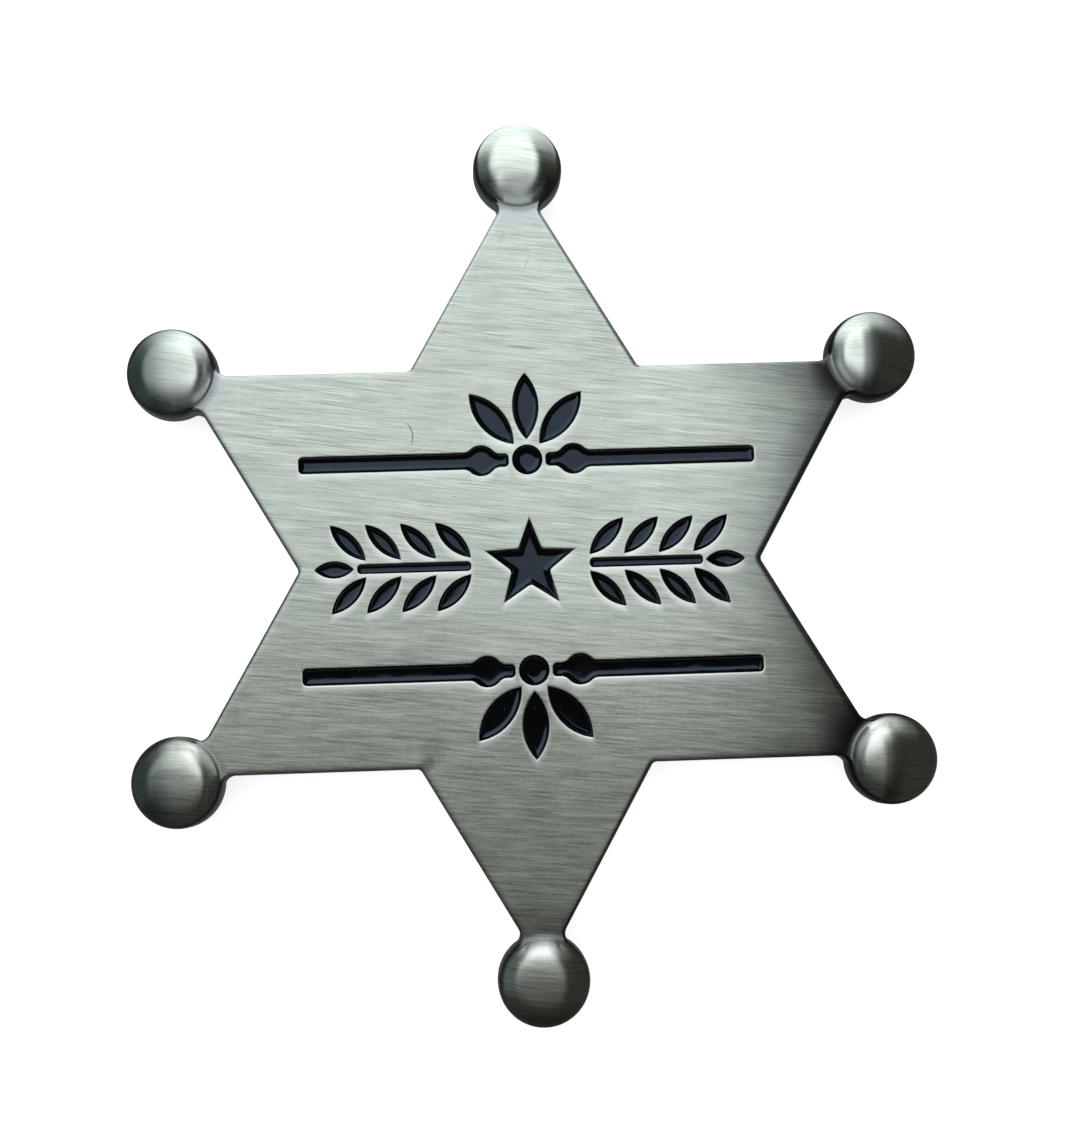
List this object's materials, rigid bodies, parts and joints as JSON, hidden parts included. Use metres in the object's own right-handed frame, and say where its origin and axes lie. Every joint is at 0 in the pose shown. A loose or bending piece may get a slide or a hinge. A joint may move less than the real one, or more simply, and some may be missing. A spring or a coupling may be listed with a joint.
{
  "type": "sheriff star badge",
  "caption": "Six-pointed star badge in antiqued cast metal, a ball on each point, black enamel bars, leaf fans and laurel sprays in the face, and a brooch pin on the back.",
  "frame": {"origin": "on the surface that the badge lies on, under the middle of the star", "axes": "+Z out of the face, +Y towards the top point, +X towards the right of the face"},
  "size_m": [0.066, 0.075, 0.0097],
  "materials": {
    "antique_metal": "brushed, antiqued",
    "black_enamel": "gloss",
    "pin_steel": "satin"
  },
  "bodies": {
    "root": {"star": "antique_metal", "brooch_pin": "pin_steel", "small_star": "black_enamel", "dot_upper": "black_enamel", "bar_upper_right": "black_enamel", "bar_upper_left": "black_enamel", "leaf_upper_left": "black_enamel", "leaf_upper_middle": "black_enamel", "leaf_upper_right": "black_enamel", "dot_lower": "black_enamel", "bar_lower_right": "black_enamel", "bar_lower_left": "black_enamel", "leaf_lower_left": "black_enamel", "leaf_lower_middle": "black_enamel", "leaf_lower_right": "black_enamel", "spray_right_stem": "black_enamel", "spray_right_tip": "black_enamel", "spray_right_upper_1": "black_enamel", "spray_right_upper_2": "black_enamel", "spray_right_upper_3": "black_enamel", "spray_right_upper_4": "black_enamel", "spray_right_lower_1": "black_enamel", "spray_right_lower_2": "black_enamel", "spray_right_lower_3": "black_enamel", "spray_right_lower_4": "black_enamel", "spray_left_stem": "black_enamel", "spray_left_tip": "black_enamel", "spray_left_upper_1": "black_enamel", "spray_left_upper_2": "black_enamel", "spray_left_upper_3": "black_enamel", "spray_left_upper_4": "black_enamel", "spray_left_lower_1": "black_enamel", "spray_left_lower_2": "black_enamel", "spray_left_lower_3": "black_enamel", "spray_left_lower_4": "black_enamel"}
  },
  "joints": []
}
